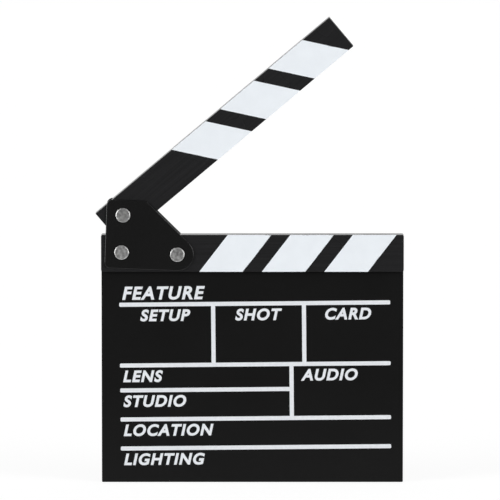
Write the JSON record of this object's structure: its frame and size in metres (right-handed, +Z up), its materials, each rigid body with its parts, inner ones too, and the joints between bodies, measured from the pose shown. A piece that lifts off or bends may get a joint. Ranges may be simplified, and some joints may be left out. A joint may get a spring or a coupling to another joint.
{
  "type": "clapperboard",
  "caption": "Film clapperboard: ruled black slate panel set in a striped lower stick, with a striped upper stick that swings up and claps down on a riveted plate hinge.",
  "frame": {"origin": "middle of the slate panel's bottom edge, half way through the panel, on the surface that the board stands on", "axes": "+X to the right seen from the front, +Y from the front to the back, +Z up"},
  "size_m": [0.2035, 0.0144, 0.3091],
  "materials": {
    "panel_paint": "matte black paint on fibreboard",
    "stick_paint": "satin black paint on wood",
    "plate_steel": "matte black powder coat",
    "rivet_steel": "satin nickel plate",
    "pin_steel": "bright drawn wire",
    "stripe_white": "white paint film",
    "print_white": "white printing ink"
  },
  "bodies": {
    "slate": {"slate_panel": "panel_paint", "lower_stick": "stick_paint", "front_hinge_plate": "plate_steel", "rear_hinge_plate": "plate_steel", "pivot_rivet": "rivet_steel", "left_rivet": "rivet_steel", "right_rivet": "rivet_steel", "panel_pins": "pin_steel", "lower_stripe_inner": "stripe_white", "lower_stripe_middle": "stripe_white", "lower_stripe_outer": "stripe_white", "slate_ruling": "print_white"},
    "clap_stick": {"upper_stick": "stick_paint", "upper_stripe_inner": "stripe_white", "upper_stripe_middle": "stripe_white", "upper_stripe_outer": "stripe_white"}
  },
  "joints": [
    {"name": "clap_hinge", "type": "hinge", "parent": "slate", "child": "clap_stick", "pos_m": [-0.08545, 0, 0.1785], "axis": [0, -1, 0], "range_deg": [-40.25, 19.9]}
  ]
}
